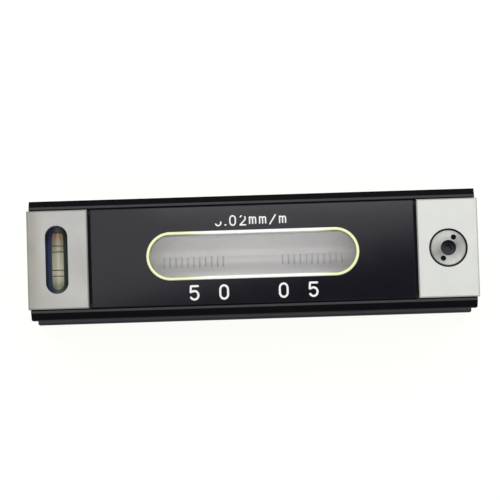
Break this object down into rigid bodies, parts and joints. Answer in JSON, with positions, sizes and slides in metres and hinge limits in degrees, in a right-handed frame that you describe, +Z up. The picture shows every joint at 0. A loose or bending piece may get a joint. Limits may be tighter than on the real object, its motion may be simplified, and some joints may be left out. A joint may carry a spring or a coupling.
{
  "type": "precision machinist level",
  "caption": "Bar-form precision spirit level: I-section body with V groove, windowed main vial on an adjustable carrier, cross vial in one end cap.",
  "frame": {"origin": "centre of the base face", "axes": "+X along the bar towards the adjuster cap, +Z up out of the window"},
  "size_m": [0.1516, 0.04, 0.04],
  "materials": {
    "black_enamel": "gloss black enamel over cast iron, base ground bright",
    "black_panel": "gloss black enamel on steel plate",
    "satin_cap": "satin plated",
    "pale_ring": "moulded, pale cream",
    "clear_pane": "clear pane",
    "vial_glass": "ground and polished tube",
    "vial_spirit": "clear spirit",
    "dark_holder": "dark blue-black lacquer",
    "white_backing": "white enamel",
    "pale_backing": "beige enamel",
    "plaster": "set plaster",
    "brass": "machined",
    "steel": "turned",
    "zinc_steel": "bright zinc plate"
  },
  "bodies": {
    "level_body": {"body_casting": "black_enamel", "cover_panel": "black_panel", "window_bezel": "pale_ring", "window_lens": "clear_pane", "cross_vial_cap": "satin_cap", "adjuster_cap": "satin_cap", "left_cap_screws": "zinc_steel", "right_cap_screws": "zinc_steel", "cross_vial_holder": "dark_holder", "cross_vial_tube": "vial_glass", "cross_vial_stoppers": "vial_glass", "cross_vial_spirit": "vial_spirit", "cross_vial_backing": "pale_backing", "cross_vial_plaster": "plaster", "pivot_bracket": "brass", "pivot_bracket_screws": "zinc_steel", "pivot_pin": "steel", "return_spring": "steel"},
    "vial_carrier": {"carrier_sleeve": "brass", "carrier_pivot_plug": "brass", "carrier_tongue_plug": "brass", "carrier_set_screws": "steel", "main_vial_tube": "vial_glass", "main_vial_stoppers": "vial_glass", "main_vial_spirit": "vial_spirit", "vial_seat_left": "plaster", "vial_seat_right": "plaster", "vial_reflector": "white_backing"},
    "lock_ring": {"adjuster_lock_ring": "zinc_steel"},
    "thrust_ball": {"thrust_ball": "steel"},
    "adjusting_screw": {"adjusting_screw": "steel"}
  },
  "joints": [
    {"name": "adjuster_turn", "type": "hinge", "parent": "thrust_ball", "child": "adjusting_screw", "pos_m": [0.0657, 0, 0.0313], "axis": [0, 0, 1], "range_deg": [-270, 270]},
    {"name": "adjuster_travel", "type": "slide", "parent": "level_body", "child": "thrust_ball", "axis": [0, 0, 1], "range_m": [-0.000376, 0.000376], "deforming": ["return_spring"]},
    {"name": "carrier_tilt", "type": "hinge", "parent": "level_body", "child": "vial_carrier", "pos_m": [-0.0518, 0, 0.027], "axis": [0, 1, 0], "range_deg": [-0.1828, 0.1828]},
    {"name": "lock_ring_turn", "type": "hinge", "parent": "level_body", "child": "lock_ring", "pos_m": [0.0657, 0, 0.0379], "axis": [0, 0, 1], "range_deg": [0, 90]}
  ],
  "couplings": [
    {"joint": "adjuster_travel", "follows": "carrier_tilt", "m_per_rad": -0.1175},
    {"joint": "adjuster_turn", "follows": "carrier_tilt", "ratio": -1476.5}
  ]
}
